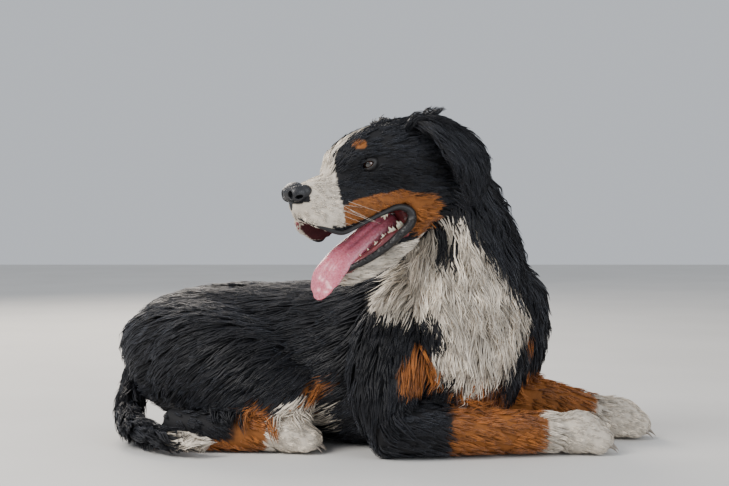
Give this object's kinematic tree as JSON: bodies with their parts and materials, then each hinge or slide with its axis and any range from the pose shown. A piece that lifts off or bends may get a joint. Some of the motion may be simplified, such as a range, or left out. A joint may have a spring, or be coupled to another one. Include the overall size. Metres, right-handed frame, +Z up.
{
  "type": "bernese mountain dog",
  "caption": "Life-size still model of a tricolour long-haired dog lying on its chest, head turned back, mouth open and tongue out.",
  "frame": {"origin": "on the floor, in the middle of the flat under the trunk", "axes": "+X along the trunk from the rump to the forepaws, +Y to the dog's left at the trunk, +Z up"},
  "size_m": [0.9439, 0.5112, 0.5486],
  "materials": {
    "black_coat": "long soft hair, slightly glossy",
    "rust_coat": "short to medium hair",
    "white_coat": "long soft hair",
    "nose_leather": "moist, finely pebbled",
    "mouth_skin": "moist skin with teeth",
    "tongue": "moist",
    "eye": "wet and clear"
  },
  "bodies": {
    "root": {"head": "black_coat", "nose": "nose_leather", "eye_left": "eye", "eye_right": "eye", "tongue": "tongue", "lower_jaw": "mouth_skin", "ear_left": "black_coat", "ear_right": "black_coat", "trunk": "black_coat", "neck": "black_coat", "breast": "white_coat", "tail_root": "black_coat", "tail_end": "black_coat", "shoulder_right": "black_coat", "forearm_right": "rust_coat", "forepaw_right": "white_coat", "thigh_right": "black_coat", "shank_right": "rust_coat", "hindpaw_right": "white_coat", "shoulder_left": "black_coat", "forearm_left": "rust_coat", "forepaw_left": "white_coat", "thigh_left": "black_coat", "shank_left": "rust_coat", "hindpaw_left": "white_coat"}
  },
  "joints": []
}
